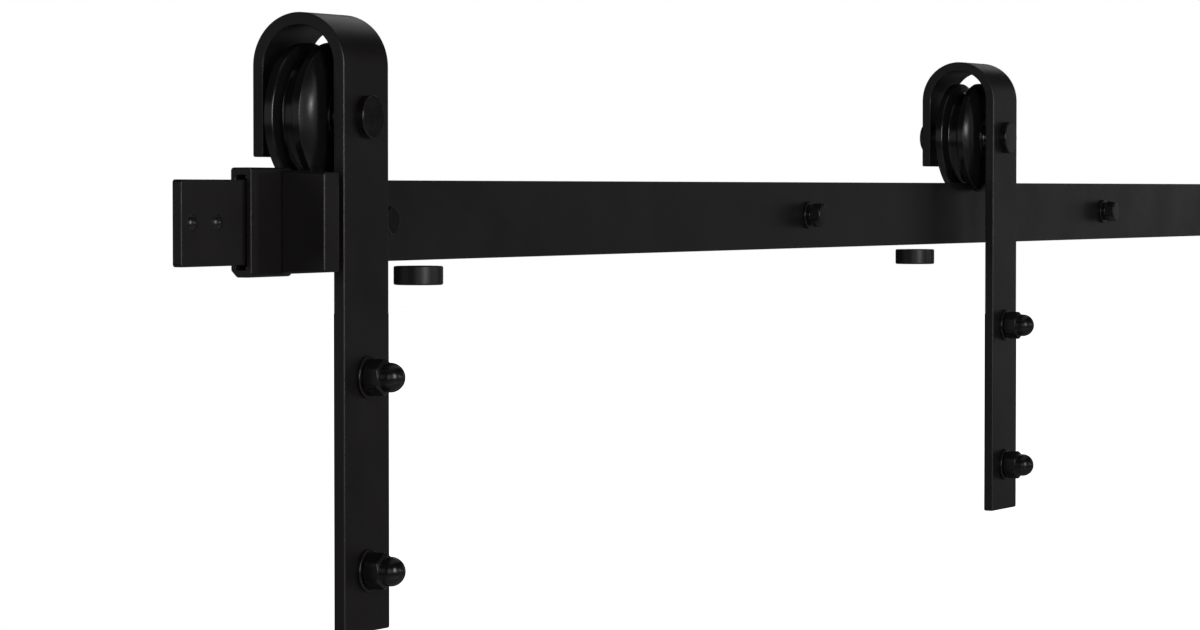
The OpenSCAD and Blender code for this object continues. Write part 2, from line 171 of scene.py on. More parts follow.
MATERIALS = {
    "black_powder_coat": material("powder_coat", (0.0095, 0.0075, 0.0074), 0.36, specular=0.5,
                                  grain=1100, bump=0.00003, wear=0.5),
    "wheel_black": material("wheel_coat", (0.0085, 0.0085, 0.009), 0.2, specular=0.6,
                            grain=700, bump=0.000002, mottle=0.02, wear=0.3, wear_rough=0.0),
    "black_fasteners": material("black_fasteners", (0.007, 0.0063, 0.0063), 0.25, specular=0.45,
                                grain=1500, bump=0.00001, wear=0.6),
    "zinc_steel": material("zinc_steel", (0.46, 0.47, 0.49), 0.34, metal=1.0, grain=1300,
                           bump=0.000008, wear=0.3),
    "bearing_steel": material("bearing_steel", (0.52, 0.53, 0.54), 0.2, metal=1.0, grain=900,
                              bump=0.000004, wear=0.2),
    "cage_brass": material("cage_brass", (0.5, 0.36, 0.14), 0.32, metal=1.0, grain=900,
                           bump=0.000006, wear=0.2),
    "rubber_pad": material("rubber_pad", (0.012, 0.012, 0.012), 0.72, specular=0.35, grain=1600,
                           bump=0.00006, wear=0.3, wear_rough=0.05),
}


# ---------------------------------------------------------------- mesh building, in millimetres

def bridge(bm, ring_a, ring_b):
    """Quads between two rings of the same length."""
    n = len(ring_a)
    for i in range(n):
        j = (i + 1) % n
        bm.faces.new((ring_a[i], ring_a[j], ring_b[j], ring_b[i]))


def loft(bm, rings, close=False):
    """Skins a list of point rings and returns their vertices."""
    made = [[bm.verts.new(p) for p in ring] for ring in rings]
    for a, b in zip(made, made[1:]):
        bridge(bm, a, b)
    if close:
        bridge(bm, made[-1], made[0])
    return made


def cap(bm, flat, rings, flip=False):
    """Closes an end: the first ring is its outline and the others are holes."""
    verts = [v for ring in rings for v in ring]
    loops = [[v.co for v in ring] for ring in rings]
    for tri in tessellate_polygon(loops):
        corners = [verts[i] for i in (reversed(tri) if flip else tri)]
        try:
            bm.faces.new(corners)[flat] = 1
        except ValueError:
            pass


def close_ends(bm, flat, rings):
    """Closes both ends of a lofted shape."""
    cap(bm, flat, [rings[0]])
    cap(bm, flat, [rings[-1]], flip=True)


def fresh():
    """A new mesh, with a layer that marks flat end faces."""
    bm = bmesh.new()
    return bm, bm.faces.layers.int.new("flat")


# the largest share of a side that one corner's rounding may take
SIDE_SHARE = 0.48


def soften(corners, steps=5):
    """A closed outline of (x, y, radius) corners with each corner rounded."""
    out = []
    count = len(corners)
    for i, (x, y, r) in enumerate(corners):
        here = Vector((x, y))
        before = Vector(corners[i - 1][:2]) - here
        after = Vector(corners[(i + 1) % count][:2]) - here
        if r <= 0:
            out.append((x, y))
            continue
        half = before.angle(after) / 2
        cut = min(r / math.tan(half), SIDE_SHARE * before.length, SIDE_SHARE * after.length)
        r = cut * math.tan(half)
        centre = here + (before.normalized() + after.normalized()).normalized() * (r / math.sin(half))
        start = here + before.normalized() * cut - centre
        turn = start.angle_signed(here + after.normalized() * cut - centre)
        for k in range(steps + 1):
            a = -turn * k / steps
            out.append((centre.x + start.x * math.cos(a) - start.y * math.sin(a),
                        centre.y + start.x * math.sin(a) + start.y * math.cos(a)))
    return out


def plate_outline(x0, x1, z0, z1, r, steps=5):
    """A rectangle with rounded corners."""
    return soften([(x0, z0, r), (x1, z0, r), (x1, z1, r), (x0, z1, r)], steps)


def inset(outline, depth):
    """Moves a closed outline inwards by depth, at right angles to its sides."""
    area = sum(a[0] * b[1] - b[0] * a[1] for a, b in zip(outline, outline[1:] + outline[:1]))
    sign = 1 if area > 0 else -1
    out = []
    count = len(outline)
    for i, (x, y) in enumerate(outline):
        a, b = outline[i - 1], outline[(i + 1) % count]
        n1 = Vector((a[1] - y, x - a[0])).normalized()
        n2 = Vector((y - b[1], b[0] - x)).normalized()
        n = n1 + n2
        scale = 2.0 / max(n.length_squared, 0.5)
        out.append((x + sign * n.x * scale * depth, y + sign * n.y * scale * depth))
    return out


def circle(x, y, r, count=48):
    return [(x + r * math.cos(math.tau * k / count), y + r * math.sin(math.tau * k / count))
            for k in range(count)]


def slab(bm, flat, put, outline, holes, low, high, edge_r, steps=4, hole_edge=0.25):
    """A plate between two levels with rounded edges. Holes are (x, y, radius)."""
    levels = []
    for k in range(steps + 1):
        t = math.pi / 2 * k / steps
        levels.append((edge_r * (1 - math.sin(t)), low + edge_r * (1 - math.cos(t))))
    levels += [(i, low + high - w) for i, w in reversed(levels)]
    rings = loft(bm, [[put(u, v, w) for u, v in inset(outline, i)] for i, w in levels])
    first, last = [rings[0]], [rings[-1]]
    for x, y, r in holes:
        lips = ((hole_edge, low), (0, low + hole_edge), (0, high - hole_edge), (hole_edge, high))
        hole = loft(bm, [[put(u, v, w) for u, v in circle(x, y, r + g)] for g, w in lips])
        first.append(hole[0])
        last.append(hole[-1])
    cap(bm, flat, first)
    cap(bm, flat, last, flip=True)


def lathe(bm, put, section, turns=96):
    """Turns a closed section of (radius, along) points around its axis."""
    rings = []
    for r, w in section:
        rings.append([put(r * math.cos(math.tau * k / turns), r * math.sin(math.tau * k / turns), w)
                      for k in range(turns)])
    loft(bm, rings, close=True)


def tube(bm, put, bore, outer, low, high, rounds, steps, turns):
    """A ring; rounds are the radii of its bore's edges and of its outer edge at low and at high."""
    in_round, low_round, high_round = rounds
    lathe(bm, put, soften([(bore, low, in_round), (outer, low, low_round), (outer, high, high_round),
                           (bore, high, in_round)], steps), turns)


# angles within one side of a hexagon, close together at its corners
HEX_STEPS = (-30, -28.5, -26.5, -22, -15, -7.5, 0, 7.5, 15, 22, 26.5, 28.5)


def hex_angles():
    """Angles round a hexagon whose corners point up and down."""
    return [60 * side + step for side in range(6) for step in HEX_STEPS]


# how much is rounded off a hexagon's corners
CORNER_CUT = 0.35


def hex_radius(degrees, af):
    """Distance from the centre to a hexagon's side, with its corners slightly rounded off."""
    from_flat = (degrees + 30) % 60 - 30
    corner = af / 2 / math.cos(math.radians(30)) - CORNER_CUT
    return min(af / 2 / math.cos(math.radians(from_flat)), corner)


def turned_hex(bm, put, rows):
    """Skins rows round a bolt's axis. A row is a function of the angle that gives (radius, along)."""
    rings = []
    for row in rows:
        ring = []
        for d in hex_angles():
            r, w = row(d)
            a = math.radians(d)
            ring.append(put(r * math.cos(a), r * math.sin(a), w))
        rings.append(ring)
    return loft(bm, rings)


def ring_row(r, w):
    return lambda d: (r, w)


def hex_row(af, w, grow=0.0):
    return lambda d: (hex_radius(d, af) + grow, w)


# slope of the cone that trims a hexagon's corners, and where it starts as a share of the flat
CONE_SLOPE, CONE_START = math.tan(math.radians(30)), 0.935


def cone_row(af, flat_r, w, sign, grow=0.0, more=0.0):
    """Where the cone, which leaves the face w at flat_r, meets the hexagon's sides."""
    return lambda d: (hex_radius(d, af) + grow,
                      w - sign * (CONE_SLOPE * max(hex_radius(d, af) - flat_r, 0.0) + more))


def head_rows(af, low, high, low_cone=False):
    """Rows from a hexagon's lower face to its upper face, with a soft edge on the cone's rim."""
    flat_r = af / 2 * CONE_START
    rows = []
    if low_cone:
        rows += [ring_row(flat_r, low), cone_row(af, flat_r, low, -1, -0.1, 0.0),
                 cone_row(af, flat_r, low, -1, 0.0, 0.12)]
    else:
        rows += [hex_row(af, low, -0.12), hex_row(af, low + 0.12)]
    rows += [cone_row(af, flat_r, high, 1, 0.0, 0.14), cone_row(af, flat_r, high, 1, -0.05, 0.04),
             cone_row(af, flat_r, high, 1, -0.16, -0.06), ring_row(flat_r + 0.22, high - 0.13),
             ring_row(flat_r, high - 0.03), ring_row(flat_r - 0.25, high)]
    return rows


def threaded(bm, put, low, high, r_out, depth, pitch, turns, per_pitch=8, tip=0.0, sharp=0.5):
    """A rod with a helical thread; its last stretch, tip long, runs down to a point."""
    count = max(2, int((high - low) / pitch * per_pitch))
    rings = []
    for i in range(count + 1):
        w = low + (high - low) * i / count
        fade = min(1.0, (w - low) / pitch, (high - w) / pitch if not tip else 1.0)
        body = 1.0 if not tip or w < high - tip else max((high - w) / tip, 0.03)
        ring = []
        for k in range(turns):
            phase = (w / pitch - k / turns) % 1.0
            height = max(0.0, 1.0 - abs(phase - 0.5) / sharp)
            r = (r_out - depth * (1.0 - height * fade)) * body
            a = math.tau * k / turns
            ring.append(put(r * math.cos(a), r * math.sin(a), w))
        rings.append(ring)
    return loft(bm, rings)


def to_object(name, bm):
    """Turns a finished mesh into an object of the scene."""
    mesh = bpy.data.meshes.new(name)
    bm.to_mesh(mesh)
    bm.free()
    obj = bpy.data.objects.new(name, mesh)
    bpy.context.scene.collection.objects.link(obj)
    return obj


# faces narrower than this, in millimetres, are rounded edges, which wear
EDGE_FACE = 0.36
MERGE = 1e-4


def piece(name, bm, node, crease=32):
    """Finishes a mesh as one piece: it replaces its CAD node and rides on that node's body."""
    flat = bm.faces.layers.int.get("flat")
    bmesh.ops.remove_doubles(bm, verts=bm.verts, dist=MERGE)
    bmesh.ops.dissolve_degenerate(bm, dist=MERGE / 10, edges=bm.edges)
    bmesh.ops.recalc_face_normals(bm, faces=bm.faces)
    edge = bm.faces.layers.float.new("edge")
    for f in bm.faces:
        f.smooth = True
        width = f.calc_area() / max(e.calc_length() for e in f.edges)
        f[edge] = 1.0 if width < EDGE_FACE and not f[flat] else 0.0
    for e in bm.edges:
        e.smooth = e.calc_face_angle(0.0) < math.radians(crease)
    bm.transform(MM_SCALE)
    obj = to_object(name, bm)
    obj.data.materials.append(MATERIALS[SLOT_OF[node]])
    normals = obj.modifiers.new("normals", "WEIGHTED_NORMAL")
    normals.keep_sharp = True
    normals.weight = 100
    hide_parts(node)
    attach(obj, BODY_OF[node])
    return obj


# ---------------------------------------------------------------- track

RAIL_CORNER, RAIL_EDGE = 1.5, 0.55
RAIL_HOLE_R, RIVET_HOLE_R, SPACER_BORE_R = 4.5, 2.55, 5.5
# how far a shank reaches into its head, so that the two meet
HEAD_OVERLAP = 0.2
LAG_HEAD_AF, LAG_HEAD_H = 13.0, 6.5
LAG_NECK_R, LAG_NECK_END, LAG_NECK_BEVEL, LAG_THREAD_LAP = 4.05, -1.6, 0.6, 0.4
LAG_R, LAG_ROOT, LAG_PITCH, LAG_POINT = 4.0, 1.0, 3.6, 9.0
LAG_WASHER_T, LAG_WASHER_R, LOCK_WASHER_R, WASHER_PLAY = 2.0, 8.25, 6.5, 0.1
RIVET_R, RIVET_TAIL_R, DOME_BASE_EDGE = 2.5, 3.5, 0.12


def rail(bolt_x, rivet_x):
    """Flat bar with rounded edges and the holes for its bolts and rivets."""
    outline = plate_outline(RAIL_LO.x, RAIL_HI.x, RAIL_LO.z, RAIL_HI.z, RAIL_CORNER, 6)
    holes = [(x, 0, RAIL_HOLE_R) for x in bolt_x] + [(x, 0, RIVET_HOLE_R) for x in rivet_x]
    bm, flat = fresh()
    slab(bm, flat, along_y(0, 0), outline, holes, RAIL_LO.y, RAIL_HI.y, RAIL_EDGE)
    piece("flat_rail", bm, "track_rail")


def rail_spacer(i, x):
    lo, hi = box_mm(f"rail_spacer_{i}")
    bm, _ = fresh()
    tube(bm, along_y(x, 0), SPACER_BORE_R, (hi.x - lo.x) / 2, lo.y, hi.y, (0.3, 0.7, 0.7), 4, 96)
    piece(f"spacer_{i}", bm, f"rail_spacer_{i}")


def lag_bolt(i, x):
    """Hex head, plain neck and a coarse thread that runs down to a point."""
    lo, hi = box_mm(f"rail_bolt_{i}")
    seat = lo.y + LAG_HEAD_H
    neck = seat - HEAD_OVERLAP
    put = along_y(x, 0)
    bm, flat = fresh()
    close_ends(bm, flat, turned_hex(bm, along_y(x, 0, -1), head_rows(LAG_HEAD_AF, -seat, -lo.y)))
    lathe(bm, put, [(0, neck), (LAG_NECK_R, neck), (LAG_NECK_R, LAG_NECK_END - LAG_NECK_BEVEL),
                    (LAG_R - 0.3, LAG_NECK_END), (0, LAG_NECK_END)], 48)
    close_ends(bm, flat, threaded(bm, put, LAG_NECK_END - LAG_THREAD_LAP, hi.y, LAG_R, LAG_ROOT,
                                  LAG_PITCH, 40, tip=LAG_POINT, sharp=0.3))
    piece(f"lag_bolt_{i}", bm, f"rail_bolt_{i}")


def lag_washers(bolt_x):
    """A flat washer on the rail and a lock washer on top of it, under each head."""
    lo, hi = box_mm("rail_washers")
    seat = hi.y - LAG_WASHER_T
    bore = LAG_NECK_R + WASHER_PLAY
    bm, _ = fresh()
    for x in bolt_x:
        put = along_y(x, 0)
        tube(bm, put, bore, LAG_WASHER_R, seat, hi.y, (0.15, 0.55, 0.15), 4, 64)
        tube(bm, put, bore, LOCK_WASHER_R, lo.y, seat, (0.3, 0.4, 0.4), 4, 64)
    piece("lag_washers", bm, "rail_washers")


def dome_section(r, low, high, steps=10):
    """Half of a domed head as (radius, along): base at low, top at high."""
    h = abs(high - low)
    ball = (r * r + h * h) / (2 * h)
    sign = 1 if high > low else -1
    top = math.asin(r / ball)
    out = [(0, low), (r - DOME_BASE_EDGE, low)]
    for k in range(steps + 1):
        a = top * (1 - k / steps)
        out.append((ball * math.sin(a), high - sign * ball * (1 - math.cos(a))))
    return out


def end_rivets(side, xs):
    lo, hi = box_mm(f"{side}_end_rivets")
    head_r = (hi.z - lo.z) / 2
    shank = [(0, RAIL_LO.y), (RIVET_R, RAIL_LO.y), (RIVET_R, RAIL_HI.y), (0, RAIL_HI.y)]
    bm, _ = fresh()
    for x in xs:
        put = along_y(x, 0)
        lathe(bm, put, dome_section(head_r, RAIL_LO.y, lo.y), 48)
        lathe(bm, put, shank, 32)
        lathe(bm, put, dome_section(RIVET_TAIL_R, RAIL_HI.y, hi.y), 48)
    piece(f"{side}_rivets", bm, f"{side}_end_rivets")


def rivet_places(side):
    """X of the two rivets near one end of the rail."""
    lo, hi = box_mm(f"{side}_end_rivets")
    head_r = (hi.z - lo.z) / 2
    return [lo.x + head_r, hi.x - head_r]


bolt_places = [sum(corner.x for corner in box_mm(f"rail_bolt_{i}")) / 2 for i in (1, 2, 3, 4)]
rail(bolt_places, [x for side in SIDES for x in rivet_places(side)])
for number, place in enumerate(bolt_places, 1):
    rail_spacer(number, place)
    lag_bolt(number, place)
lag_washers(bolt_places)
for side in SIDES:
    end_rivets(side, rivet_places(side))


# ---------------------------------------------------------------- end stops

WEB_T, LIP_T, LIP_H, FLANGE_T = 2.6, 2.6, 6.0, 3.6
CLAMP_BEVEL, CLAMP_EDGE = 3.2, 0.45
SET_HOLE_R, SET_R, SET_SOCKET, SET_SOCKET_DEEP = 3.05, 3.0, 3.0, 2.6
# how far the cutters for the set screws' holes reach in past the flange and out of it
CUT_IN, CUT_OUT = 3, 2
BLOCK_CORNER, BLOCK_EDGE, BLOCK_FALL = 1.5, 0.7, 1.0
PAD_CORNER, PAD_EDGE = 0.9, 0.6
SINK_R, SINK_H, SINK_SHANK_R, SINK_ROOT, SINK_PITCH = 3.5, 1.7, 2.0, 0.35, 0.7
SINK_SOCKET, SINK_SOCKET_DEEP = 2.25, 1.2


def cut_holes(obj, cutters):
    """Cuts closed meshes out of a piece and applies the result."""
    for cutter in cutters:
        m = obj.modifiers.new("cut", "BOOLEAN")
        m.operation = "DIFFERENCE"
        m.solver = "EXACT"
        m.object = cutter
    obj.modifiers.move(obj.modifiers.find("normals"), len(obj.modifiers) - 1)
    for cutter in cutters:
        with bpy.context.temp_override(object=obj, active_object=obj):
            bpy.ops.object.modifier_apply(modifier=obj.modifiers[0].name)
        bpy.data.objects.remove(cutter)


def rod_cutter(x, y, low, high, r):
    """An upright rod to cut a hole with."""
    bm = bmesh.new()
    rings = loft(bm, [[(u, v, w) for u, v in circle(x, y, r, 40)] for w in (low, high)])
    bm.faces.new(list(reversed(rings[0])))
    bm.faces.new(rings[1])
    bmesh.ops.recalc_face_normals(bm, faces=bm.faces)
    bm.transform(MM_SCALE)
    return to_object("cutter", bm)


def set_screw_places(side):
    """X of the set screws of one stop."""
    lo, hi = box_mm(f"{side}_set_screws")
    return lo.x + SET_R, hi.x - SET_R


def stop_clamp(side):
    """Bent plate: a web in front of the rail, two flanges over its edges and two lips behind."""
    lo, hi = box_mm(f"{side}_stop_clamp")
    in_front, in_back, in_top = lo.y + WEB_T, hi.y - LIP_T, hi.z - FLANGE_T
    lip_z = in_top - LIP_H
    section = soften([
        (lo.y, lo.z, 2.2), (hi.y - CLAMP_BEVEL, lo.z, 1.4), (hi.y, lo.z + CLAMP_BEVEL, 1.4),
        (hi.y, -lip_z, 0.8), (in_back, -lip_z, 0.6), (in_back, -in_top, 1.0), (in_front, -in_top, 1.0),
        (in_front, in_top, 1.0), (in_back, in_top, 1.0), (in_back, lip_z, 0.6), (hi.y, lip_z, 0.8),
        (hi.y, hi.z, 1.6), (lo.y, hi.z, 1.2)], 5)
    bm, flat = fresh()
    slab(bm, flat, along_x, section, [], lo.x, hi.x, CLAMP_EDGE, hole_edge=0)
    clamp = piece(f"{side}_clamp", bm, f"{side}_stop_clamp")
    spans = ((in_top - CUT_IN, hi.z + CUT_OUT), (lo.z - CUT_OUT, -in_top + CUT_IN))
    cut_holes(clamp, [rod_cutter(x, RAIL_Y, low, high, SET_HOLE_R)
                      for x in set_screw_places(side) for low, high in spans])


def set_screws(side):
    """Screws with a hex socket that come down and up through the flanges onto the rail's edges."""
    _, hi = box_mm(f"{side}_set_screws")
    tip, top = RAIL_HI.z, hi.z - 0.15
    rows = [ring_row(SET_R - 0.9, tip), ring_row(SET_R - 0.1, tip + 0.7), ring_row(SET_R, tip + 0.9),
            ring_row(SET_R, top - 0.5), ring_row(SET_R - 0.45, top), hex_row(SET_SOCKET, top, 0.15),
            hex_row(SET_SOCKET, top - 0.2), hex_row(SET_SOCKET, top - SET_SOCKET_DEEP)]
    bm, flat = fresh()
    for x in set_screw_places(side):
        for flip in (1, -1):
            close_ends(bm, flat, turned_hex(bm, along_z(x, RAIL_Y, flip), rows))
    piece(f"{side}_grub_screws", bm, f"{side}_set_screws")


def stop_block(side):
    """Buffer block; its ends fall a little towards the room."""
    lo, hi = box_mm(f"{side}_stop_block")
    bm, flat = fresh()
    front = plate_outline(lo.x, hi.x, lo.z, hi.z, BLOCK_CORNER)
    slab(bm, flat, along_y(0, 0), front, [], lo.y, hi.y, BLOCK_EDGE, hole_edge=0)
    for v in bm.verts:
        v.co.z *= 1 - BLOCK_FALL / hi.z * (hi.y - v.co.y) / (hi.y - lo.y)
    piece(f"{side}_buffer_block", bm, f"{side}_stop_block")


def stop_pad(side):
    lo, hi = box_mm(f"{side}_stop_pad")
    bm, flat = fresh()
    front = plate_outline(lo.x, hi.x, lo.z, hi.z, PAD_CORNER)
    slab(bm, flat, along_y(0, 0), front, [], lo.y, hi.y, PAD_EDGE, hole_edge=0)
    piece(f"{side}_rubber_pad", bm, f"{side}_stop_pad")


def stop_screws(side):
    """Countersunk screws with a hex socket, from behind the web into the block."""
    lo, hi = box_mm(f"{side}_stop_screws")
    face = -hi.y
    rows = [hex_row(SINK_SOCKET, face + SINK_SOCKET_DEEP), hex_row(SINK_SOCKET, face + 0.1),
            hex_row(SINK_SOCKET, face, 0.1), ring_row(SINK_R - 0.15, face),
            ring_row(SINK_R, face + 0.15), ring_row(SINK_SHANK_R, face + SINK_H)]
    bm, flat = fresh()
    for z in (lo.z + SINK_R, hi.z - SINK_R):
        put = along_y((lo.x + hi.x) / 2, z, -1)
        made = turned_hex(bm, put, rows)
        cap(bm, flat, [made[0]])
        close_ends(bm, flat, threaded(bm, put, face + SINK_H - 0.1, -lo.y, SINK_SHANK_R, SINK_ROOT,
                                      SINK_PITCH, 36))
    piece(f"{side}_block_screws", bm, f"{side}_stop_screws")


for side in SIDES:
    stop_clamp(side)
    set_screws(side)
    stop_block(side)
    stop_pad(side)
    stop_screws(side)


# ---------------------------------------------------------------- hangers

STRAP_T, STRAP_CORNER, STRAP_EDGE, TAIL_RISE, ARCH_CUTS = 6.0, 1.0, 0.75, 11.0, 44
AXLE_HOLE_R, STUD_HOLE_R = 6.2, 5.5
AXLE_R, AXLE_ROOT, AXLE_PITCH, AXLE_PLAY = 6.0, 0.85, 1.75, 0.05
AXLE_HEAD_R, AXLE_HEAD_H, AXLE_NUT_AF = 10.3, 4.2, 18.0
STUD_R, STUD_END_R, STUD_ROOT, STUD_PITCH = 5.0, 4.9, 0.7, 1.5
DOME_AF, DOME_HEX, DOME_R, DOME_STEPS, DOME_BORE = 16.0, 8.6, 7.0, 14, 12.0
RIM_Y, RIM_ROUND, CROWN_ARC_R = 10.0, 0.6, 32.0
HUB_R, HUB_STEP, BEARING_R, RACE_STOP_R, RACE_STOP_Y = 17.0, 0.9, 14.0, 12.5, 6.5
GROOVE_R, GROOVE_HALF, GROOVE_FLOOR = 29.8, 5.4, 3.0
WHEEL_CREASE, WHEEL_TURNS, CROWN_STEPS = 24, 160, 20
DISC_HOLE_OFF, DISC_HOLE_R, DISC_SINK_R, DISC_SINK_H, DISC_EDGE = 6.6, 2.5, 5.0, 2.5, 0.9


def axle_of(side):
    """X and Z of a hanger's axle."""
    lo, hi = box_mm(f"{side}_wheel")
    return (lo.x + hi.x) / 2, (lo.z + hi.z) / 2


def stud_heights(side):
    lo, hi = box_mm(f"{side}_door_studs")
    return lo.z + STUD_R, hi.z - STUD_R


def hanger_strap(side):
    """The strap is made flat, cut across where it bends, then bent over the arch."""
    lo, hi = box_mm(f"{side}_strap")
    x, axle_z = axle_of(side)
    half_w = (hi.x - lo.x) / 2
    arch_r = (hi.y - lo.y) / 2
    arch_z = hi.z - arch_r
    tail_z = RAIL_HI.z + TAIL_RISE
    tail_len = arch_z - tail_z
    arch_len = math.pi * (arch_r - STRAP_T / 2)

    def down(z):
        """Distance along the flat strap of a place on its front leg."""
        return tail_len + arch_len + arch_z - z

    bm, flat = fresh()
    outline = plate_outline(0, down(lo.z), -half_w, half_w, STRAP_CORNER, 8)
    holes = [(axle_z - tail_z, 0, AXLE_HOLE_R), (down(axle_z), 0, AXLE_HOLE_R)]
    holes += [(down(z), 0, STUD_HOLE_R) for z in stud_heights(side)]
    slab(bm, flat, lambda u, v, w: (u, v, w), outline, holes, 0.0, STRAP_T, STRAP_EDGE)
    for k in range(ARCH_CUTS + 1):
        at = tail_len + arch_len * k / ARCH_CUTS
        bmesh.ops.bisect_plane(bm, geom=bm.verts[:] + bm.edges[:] + bm.faces[:], dist=MERGE / 10,
                               plane_co=(at, 0, 0), plane_no=(1, 0, 0))
    for v in bm.verts:
        u, across, w = v.co
        r = arch_r - w
        turn = min(max((u - tail_len) / arch_len, 0.0), 1.0) * math.pi
        z = arch_z + r * math.sin(turn)
        if u < tail_len:
            z = tail_z + u
        elif u > tail_len + arch_len:
            z = arch_z - (u - tail_len - arch_len)
        v.co = (x + across, RAIL_Y + r * math.cos(turn), z)
    piece(f"{side}_hanger_strap", bm, f"{side}_strap")


def axle_bolt(side):
    """Low round head, shank and a threaded end."""
    lo, hi = box_mm(f"{side}_axle_bolt")
    nut_y = box_mm(f"{side}_axle_nut")[0].y
    put = along_y(*axle_of(side))
    seat = lo.y + AXLE_HEAD_H
    shank = seat - HEAD_OVERLAP
    bm, flat = fresh()
    lathe(bm, put, soften([(0, seat, 0), (AXLE_HEAD_R, seat, 0.2), (AXLE_HEAD_R, lo.y, 0.6), (0, lo.y, 0)]))
    lathe(bm, put, [(0, shank), (AXLE_R, shank), (AXLE_R, nut_y - 1.5), (AXLE_R - 0.8, nut_y - 0.9),
                    (0, nut_y - 0.9)], 64)
    close_ends(bm, flat, threaded(bm, put, nut_y - 1.2, hi.y, AXLE_R, AXLE_ROOT, AXLE_PITCH, 56, 10))
    piece(f"{side}_axle", bm, f"{side}_axle_bolt")


def axle_nut(side):
    lo, hi = box_mm(f"{side}_axle_nut")
    bore, mouth = AXLE_R + AXLE_PLAY, AXLE_R + AXLE_PLAY + 0.7
    rows = head_rows(AXLE_NUT_AF, lo.y, hi.y, low_cone=True)
    rows += [ring_row(mouth, hi.y), ring_row(bore, hi.y - 0.7), ring_row(bore, lo.y + 0.7),
             ring_row(mouth, lo.y)]
    bm, _ = fresh()
    made = turned_hex(bm, along_y(*axle_of(side)), rows)
    bridge(bm, made[-1], made[0])
    piece(f"{side}_nut", bm, f"{side}_axle_nut")


def hub_spacers(side):
    """Rings between each leg of the strap and the bearings' inner races."""
    lo, hi = box_mm(f"{side}_hub_spacers")
    race_lo, race_hi = box_mm(f"{side}_inner_races")
    put = along_y(*axle_of(side))
    bm, _ = fresh()
    for low, high in ((lo.y, race_lo.y), (race_hi.y, hi.y)):
        tube(bm, put, AXLE_R + AXLE_PLAY, (hi.x - lo.x) / 2, low, high, (0.2, 0.35, 0.35), 3, 72)
    piece(f"{side}_spacers", bm, f"{side}_hub_spacers")


def wheel_section(wheel_r, hub_y):
    """Section of half the wheel, from its middle plane out: bore, hub, domed face and groove."""
    rim_edge, hub_edge = Vector((wheel_r - RIM_ROUND, RIM_Y)), Vector((HUB_R, hub_y - HUB_STEP))
    chord = rim_edge - hub_edge
    up = Vector((-chord.y, chord.x)).normalized()
    centre = (rim_edge + hub_edge) / 2 - up * math.sqrt(CROWN_ARC_R ** 2 - (chord.length / 2) ** 2)
    a0 = math.atan2(hub_edge.y - centre.y, hub_edge.x - centre.x)
    a1 = math.atan2(rim_edge.y - centre.y, rim_edge.x - centre.x)
    half = [(RACE_STOP_R, 0, 0), (RACE_STOP_R, RACE_STOP_Y, 0.2), (BEARING_R, RACE_STOP_Y, 0.1),
            (BEARING_R, hub_y, 0.3), (HUB_R - 0.05, hub_y, 0.4)]
    for k in range(CROWN_STEPS + 1):
        a = a0 + (a1 - a0) * k / CROWN_STEPS
        half.append((centre.x + CROWN_ARC_R * math.cos(a), centre.y + CROWN_ARC_R * math.sin(a), 0))
    half += [(wheel_r, RIM_Y - 0.35, 0.45), (wheel_r, GROOVE_HALF, 1.2), (GROOVE_R, GROOVE_FLOOR, 1.2)]
    return half


def wheel(side):
    """Grooved wheel with domed faces and a raised hub."""
    lo, hi = box_mm(f"{side}_wheel")
    mid_y = (lo.y + hi.y) / 2
    half = wheel_section((hi.x - lo.x) / 2, (hi.y - lo.y) / 2)
    whole = soften(half + [(r, -w, c) for r, w, c in reversed(half[1:])], 5)
    bm, _ = fresh()
    lathe(bm, along_y(*axle_of(side)), [(r, w + mid_y) for r, w in whole], WHEEL_TURNS)
    piece(f"{side}_roller", bm, f"{side}_wheel", crease=WHEEL_CREASE)


def door_studs(side):
    """Smooth through the strap and threaded behind it."""
    lo, hi = box_mm(f"{side}_door_studs")
    strap_back = box_mm(f"{side}_strap")[0].y + STRAP_T
    shank = [(0, lo.y), (STUD_R - 0.4, lo.y), (STUD_R, lo.y + 0.5), (STUD_R, strap_back - 1.0),
             (STUD_R - 0.6, strap_back - 0.6), (0, strap_back - 0.6)]
    bm, flat = fresh()
    for z in stud_heights(side):
        put = along_y(axle_of(side)[0], z)
        lathe(bm, put, shank, 48)
        close_ends(bm, flat, threaded(bm, put, strap_back - 0.9, hi.y, STUD_END_R, STUD_ROOT,
                                      STUD_PITCH, 48, 10))
    piece(f"{side}_studs", bm, f"{side}_door_studs")


def strap_washers(side):
    lo, hi = box_mm(f"{side}_strap_washers")
    x = axle_of(side)[0]
    bm, _ = fresh()
    for z in stud_heights(side):
        tube(bm, along_y(x, z), STUD_R + 0.3, (hi.x - lo.x) / 2, lo.y, hi.y, (0.2, 0.6, 0.2), 5, 72)
    piece(f"{side}_washers", bm, f"{side}_strap_washers")


